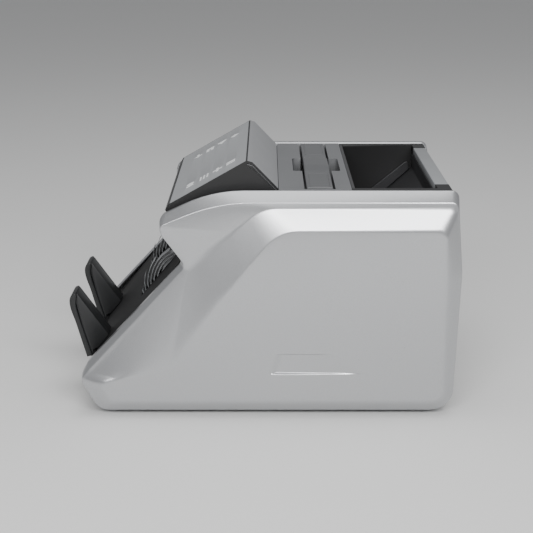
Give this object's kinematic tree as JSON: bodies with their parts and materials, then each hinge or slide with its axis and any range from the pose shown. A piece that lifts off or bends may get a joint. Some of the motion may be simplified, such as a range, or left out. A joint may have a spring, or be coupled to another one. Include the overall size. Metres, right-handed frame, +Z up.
{
  "type": "banknote counting machine",
  "caption": "Desk-top banknote counter: silver side covers, sloping touch panel, rear note hopper, pull-up carry handle and a front stacker with swept-fin wheels and curved stop fingers.",
  "frame": {"origin": "middle of the space the machine takes on the table, at table height", "axes": "+X towards the operator's right when facing the machine's front, +Y from the stacker at the front to the hopper at the rear, +Z up"},
  "size_m": [0.25, 0.3166, 0.2047],
  "materials": {
    "silver_cover": "silver metallic paint on moulded ABS, satin",
    "dark_plastic": "dark grey ABS, fine moulded texture",
    "rim_plastic": "mid grey ABS, fine moulded texture",
    "black_plastic": "black ABS, satin",
    "panel_film": "dark grey printed overlay film, satin",
    "grey_plastic": "grey moulded plastic",
    "steel": "zinc-plated steel sheet",
    "rubber": "black rubber",
    "roller_rubber": "red-brown friction rubber",
    "white_plastic": "white acetal",
    "board": "green circuit board"
  },
  "bodies": {
    "machine_body": {"right_side_cover": "silver_cover", "left_side_cover": "silver_cover", "top_cover": "dark_plastic", "hopper_right_wall": "dark_plastic", "hopper_left_wall": "dark_plastic", "rear_cover": "dark_plastic", "rear_rim": "rim_plastic", "panel_housing": "black_plastic", "hopper_floor": "black_plastic", "hopper_front_wall": "black_plastic", "stacker_plate": "black_plastic", "stacker_roof": "black_plastic", "front_lower_cover": "black_plastic", "stop_finger_right": "black_plastic", "stop_finger_left": "black_plastic", "sensor_bar": "black_plastic", "power_inlet": "black_plastic", "switch_frame": "black_plastic", "panel_overlay": "panel_film", "display_module": "grey_plastic", "base_plate": "steel", "right_side_frame": "steel", "left_side_frame": "steel", "lower_note_guide": "steel", "upper_note_guide": "steel", "main_motor": "steel", "front_right_foot": "rubber", "front_left_foot": "rubber", "rear_right_foot": "rubber", "rear_left_foot": "rubber", "friction_pad": "rubber", "motor_belt": "rubber", "stacker_belt": "rubber", "feed_belt": "rubber", "left_drive_bearing": "white_plastic", "left_feed_bearing": "white_plastic", "right_drive_bearing": "white_plastic", "right_feed_bearing": "white_plastic", "key_board": "board", "main_board": "board", "power_board": "board"},
    "stacker_spindle": {"stacker_shaft": "steel", "stacker_wheel_right": "grey_plastic", "stacker_wheel_left": "grey_plastic", "stacker_pulley": "white_plastic"},
    "drive_spindle": {"drive_shaft": "steel", "drive_roller": "roller_rubber", "drive_pulley_left": "white_plastic", "drive_pulley_right": "white_plastic"},
    "feed_spindle": {"feed_shaft": "steel", "feed_roller": "roller_rubber", "feed_pulley": "white_plastic"},
    "motor_rotor": {"motor_pulley": "white_plastic"},
    "pinch_spindle": {"pinch_roller": "white_plastic"},
    "handle": {"carry_handle": "dark_plastic"},
    "right_guide": {"hopper_right_guide": "black_plastic"},
    "left_guide": {"hopper_left_guide": "black_plastic"},
    "door": {"rear_door": "dark_plastic"},
    "rocker": {"power_rocker": "black_plastic"},
    "knob": {"gap_adjust_knob": "black_plastic"}
  },
  "joints": [
    {"name": "drive_spin", "type": "hinge", "parent": "machine_body", "child": "drive_spindle", "pos_m": [0, 0.01575, 0.0855], "axis": [1, 0, 0], "continuous": true},
    {"name": "stacker_spin", "type": "hinge", "parent": "machine_body", "child": "stacker_spindle", "pos_m": [0, -0.06275, 0.086], "axis": [1, 0, 0], "continuous": true},
    {"name": "feed_spin", "type": "hinge", "parent": "machine_body", "child": "feed_spindle", "pos_m": [0, 0.09829, 0.10376], "axis": [1, 0, 0], "continuous": true},
    {"name": "motor_spin", "type": "hinge", "parent": "machine_body", "child": "motor_rotor", "pos_m": [0, 0.05225, 0.034], "axis": [1, 0, 0], "continuous": true},
    {"name": "pinch_spin", "type": "hinge", "parent": "machine_body", "child": "pinch_spindle", "pos_m": [0, 0.01575, 0.1078], "axis": [1, 0, 0], "continuous": true},
    {"name": "handle_lift", "type": "slide", "parent": "machine_body", "child": "handle", "axis": [0, 0, 1], "range_m": [0, 0.022]},
    {"name": "right_guide_slide", "type": "slide", "parent": "machine_body", "child": "right_guide", "axis": [-1, 0, 0], "range_m": [0, 0.02]},
    {"name": "left_guide_slide", "type": "slide", "parent": "machine_body", "child": "left_guide", "axis": [1, 0, 0], "range_m": [0, 0.02]},
    {"name": "rear_door_hinge", "type": "hinge", "parent": "machine_body", "child": "door", "pos_m": [0, 0.14765, 0.062], "axis": [-1, 0, 0], "range_deg": [0, 75]},
    {"name": "power_rocker_tilt", "type": "hinge", "parent": "machine_body", "child": "rocker", "pos_m": [0.03, 0.14645, 0.034], "axis": [0, 0, -1], "range_deg": [0, 14]},
    {"name": "gap_knob_turn", "type": "hinge", "parent": "machine_body", "child": "knob", "pos_m": [0, 0.14965, 0.1643], "axis": [0, 1, 0], "range_deg": [-180, 180]}
  ],
  "couplings": [
    {"joint": "stacker_spin", "follows": "drive_spin", "ratio": 0.76923},
    {"joint": "feed_spin", "follows": "drive_spin", "ratio": 0.83333},
    {"joint": "motor_spin", "follows": "drive_spin", "ratio": 1.4286},
    {"joint": "pinch_spin", "follows": "drive_spin", "ratio": -1.75},
    {"joint": "left_guide_slide", "follows": "right_guide_slide", "ratio": 1}
  ]
}
